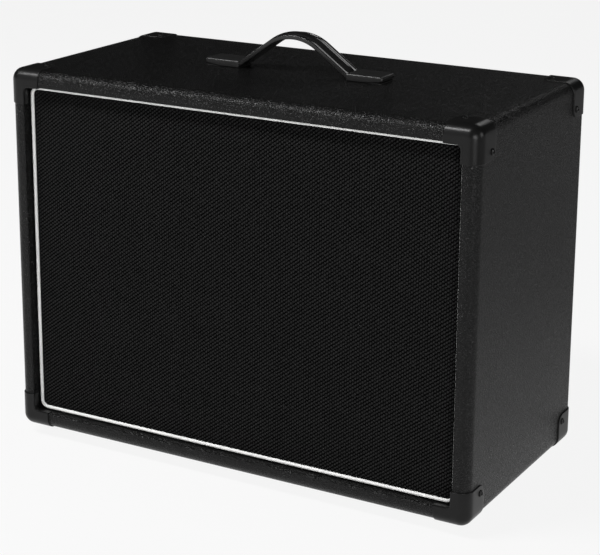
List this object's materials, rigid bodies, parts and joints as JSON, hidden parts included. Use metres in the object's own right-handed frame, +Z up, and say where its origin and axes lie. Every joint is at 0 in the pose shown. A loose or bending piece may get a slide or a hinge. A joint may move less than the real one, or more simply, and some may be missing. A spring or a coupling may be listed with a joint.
{
  "type": "guitar speaker cabinet",
  "caption": "Closed guitar speaker cabinet in grained black vinyl, with a white-piped black cloth grille, moulded corners, a strap handle and rear jack sockets.",
  "frame": {"origin": "on the floor plane under the feet, below the middle of the box", "axes": "+X to the right seen from the front, +Y from the grille to the rear, +Z up"},
  "size_m": [0.5666, 0.2824, 0.4718],
  "materials": {
    "plywood": "matte",
    "softwood": "matte",
    "black_board": "matte",
    "vinyl": "satin",
    "corner_plastic": "gloss",
    "black_screw": "satin",
    "rubber": "matte",
    "strap_rubber": "gloss",
    "spring_steel": "satin",
    "cap_plastic": "satin",
    "zinc_steel": "satin",
    "grille_cloth": "matte",
    "piping": "satin",
    "hook_and_loop": "matte",
    "basket_paint": "satin",
    "gasket_card": "matte",
    "cone_paper": "matte",
    "treated_cloth": "matte",
    "coil_winding": "satin",
    "ferrite": "matte",
    "black_plastic": "matte",
    "wire_cover": "satin",
    "brass": "satin",
    "nickel": "polished"
  },
  "bodies": {
    "cabinet": {"back_cleats": "softwood", "back_panel": "black_board", "back_plate": "zinc_steel", "baffle_board": "black_board", "baffle_cleats": "softwood", "baffle_screws": "black_screw", "bottom_panel": "plywood", "corner_front_bottom_left": "corner_plastic", "corner_front_bottom_right": "corner_plastic", "corner_front_top_left": "corner_plastic", "corner_front_top_right": "corner_plastic", "corner_rear_bottom_left": "corner_plastic", "corner_rear_bottom_right": "corner_plastic", "corner_rear_top_left": "corner_plastic", "corner_rear_top_right": "corner_plastic", "corner_screws": "black_screw", "foot_front_left": "rubber", "foot_front_right": "rubber", "foot_rear_left": "rubber", "foot_rear_right": "rubber", "foot_screws": "black_screw", "handle_base_left": "cap_plastic", "handle_base_right": "cap_plastic", "handle_cap_left": "cap_plastic", "handle_cap_right": "cap_plastic", "handle_screws": "zinc_steel", "handle_tee_nuts": "zinc_steel", "hook_pads": "hook_and_loop", "jack_bodies": "black_plastic", "jack_nuts": "nickel", "jack_plate": "basket_paint", "left_panel": "plywood", "magnet": "ferrite", "rear_screws": "black_screw", "right_panel": "plywood", "solder_tags": "brass", "speaker_basket": "basket_paint", "speaker_bolts": "black_screw", "speaker_gasket": "gasket_card", "speaker_nuts": "zinc_steel", "speaker_wires": "wire_cover", "terminal_board": "black_plastic", "top_panel": "plywood", "top_plate": "zinc_steel", "vinyl_covering": "vinyl"},
    "strap": {"handle_strap": "strap_rubber", "strap_spring_band": "spring_steel"},
    "grille": {"grille_frame": "softwood", "grille_cloth": "grille_cloth", "grille_piping": "piping", "loop_pads": "hook_and_loop"},
    "cone": {"speaker_cone": "cone_paper", "dust_cap": "cone_paper", "coil_former": "cone_paper", "voice_coil": "coil_winding", "speaker_surround": "treated_cloth", "spider": "treated_cloth"},
    "tip_spring_left": {"tip_spring_left": "brass"},
    "tip_spring_right": {"tip_spring_right": "brass"}
  },
  "joints": [
    {"name": "strap_press", "type": "slide", "parent": "cabinet", "child": "strap", "axis": [0, 0, 1], "range_m": [-0.028, 0], "stiffness_N_per_m": 1500, "springref_m": 0.002, "deforming": ["handle_strap", "strap_spring_band"]},
    {"name": "grille_pull", "type": "slide", "parent": "cabinet", "child": "grille", "axis": [0, -1, 0], "range_m": [0, 0.08]},
    {"name": "cone_travel", "type": "slide", "parent": "cabinet", "child": "cone", "axis": [0, -1, 0], "range_m": [-0.002, 0.002], "stiffness_N_per_m": 6000, "deforming": ["speaker_surround", "spider"]},
    {"name": "tip_contact_left", "type": "hinge", "parent": "cabinet", "child": "tip_spring_left", "pos_m": [-0.02, 0.107, 0.108], "axis": [1, 0, 0], "range_deg": [0, 6], "stiffness_Nm_per_rad": 0.5},
    {"name": "tip_contact_right", "type": "hinge", "parent": "cabinet", "child": "tip_spring_right", "pos_m": [0.02, 0.107, 0.108], "axis": [1, 0, 0], "range_deg": [0, 6], "stiffness_Nm_per_rad": 0.5}
  ]
}
